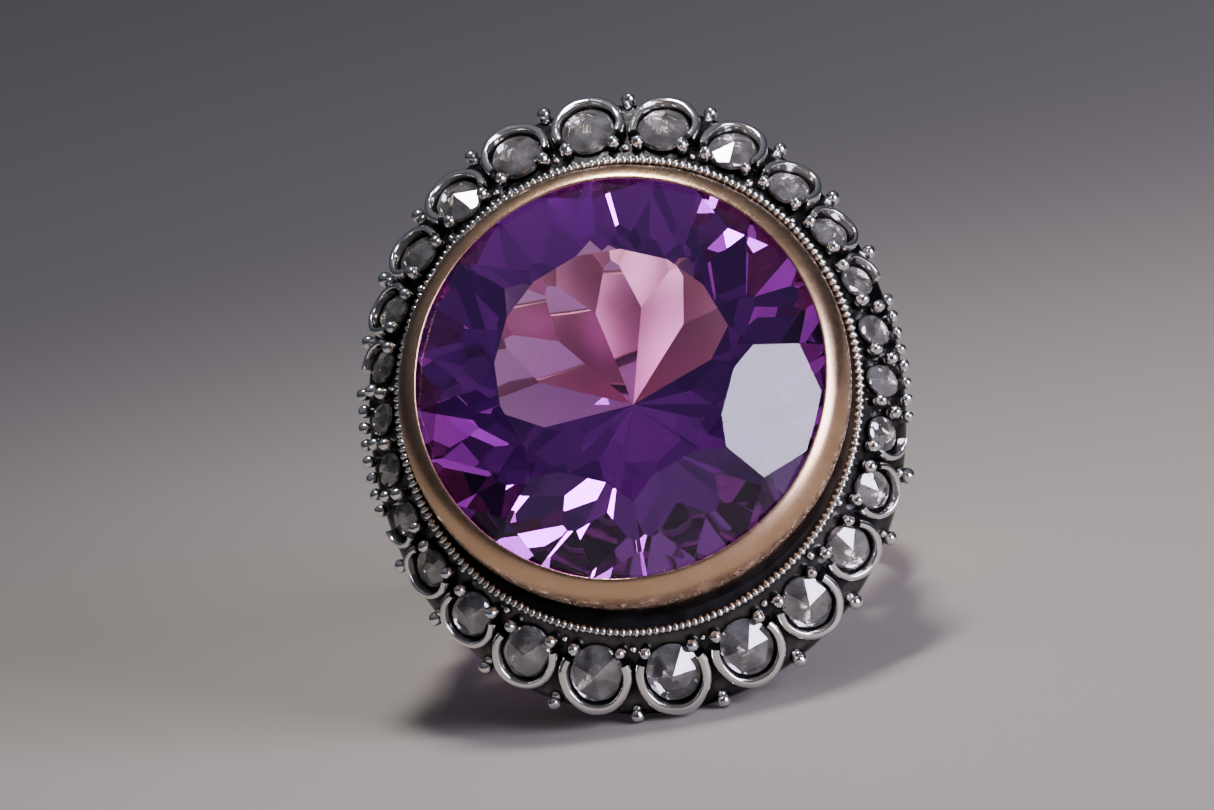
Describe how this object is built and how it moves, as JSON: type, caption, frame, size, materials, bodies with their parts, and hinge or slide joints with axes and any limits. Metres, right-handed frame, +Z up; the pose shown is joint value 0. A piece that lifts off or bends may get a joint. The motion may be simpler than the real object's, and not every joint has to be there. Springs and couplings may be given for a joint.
{
  "type": "cocktail ring",
  "caption": "Antique-style cocktail ring: round violet stone in a rose-gold rim, halo of rose-cut diamonds in scalloped silver, tapered shank.",
  "frame": {"origin": "on the table, under the middle of the ring's box as it rests leaning back on its halo and shank", "axes": "+Z up, head facing -Y and tipped back, +X to the right as the head is seen; the finger axis lies in the YZ plane"},
  "size_m": [0.0202, 0.025, 0.0209],
  "materials": {
    "amethyst": "polished facets",
    "rose_gold": "worn satin polish",
    "shank_gold": "worn polish",
    "oxidised_silver": "blackened in the recesses",
    "worn_silver": "old polish on the high points",
    "rose_diamond": "old rose cut"
  },
  "bodies": {
    "root": {"amethyst": "amethyst", "bezel_rim": "rose_gold", "collet_cup": "oxidised_silver", "millegrain_ring": "worn_silver", "halo_plate": "oxidised_silver", "gallery": "oxidised_silver", "rose_diamond_01": "rose_diamond", "rose_diamond_02": "rose_diamond", "rose_diamond_03": "rose_diamond", "rose_diamond_04": "rose_diamond", "rose_diamond_05": "rose_diamond", "rose_diamond_06": "rose_diamond", "rose_diamond_07": "rose_diamond", "rose_diamond_08": "rose_diamond", "rose_diamond_09": "rose_diamond", "rose_diamond_10": "rose_diamond", "rose_diamond_11": "rose_diamond", "rose_diamond_12": "rose_diamond", "rose_diamond_13": "rose_diamond", "rose_diamond_14": "rose_diamond", "rose_diamond_15": "rose_diamond", "rose_diamond_16": "rose_diamond", "rose_diamond_17": "rose_diamond", "rose_diamond_18": "rose_diamond", "rose_diamond_19": "rose_diamond", "rose_diamond_20": "rose_diamond", "rose_diamond_21": "rose_diamond", "rose_diamond_22": "rose_diamond", "rose_diamond_23": "rose_diamond", "rose_diamond_24": "rose_diamond", "rose_diamond_25": "rose_diamond", "rose_diamond_26": "rose_diamond", "scallop_collar_01": "worn_silver", "scallop_collar_02": "worn_silver", "scallop_collar_03": "worn_silver", "scallop_collar_04": "worn_silver", "scallop_collar_05": "worn_silver", "scallop_collar_06": "worn_silver", "scallop_collar_09": "worn_silver", "scallop_collar_10": "worn_silver", "scallop_collar_11": "worn_silver", "scallop_collar_12": "worn_silver", "scallop_collar_13": "worn_silver", "scallop_collar_14": "worn_silver", "scallop_collar_15": "worn_silver", "scallop_collar_16": "worn_silver", "scallop_collar_17": "worn_silver", "scallop_collar_18": "worn_silver", "scallop_collar_19": "worn_silver", "scallop_collar_22": "worn_silver", "scallop_collar_23": "worn_silver", "scallop_collar_24": "worn_silver", "scallop_collar_25": "worn_silver", "scallop_collar_26": "worn_silver", "bead_row_right": "worn_silver", "bead_row_left": "worn_silver", "shank": "shank_gold", "shoulder_right": "oxidised_silver", "shoulder_left": "oxidised_silver"}
  },
  "joints": []
}
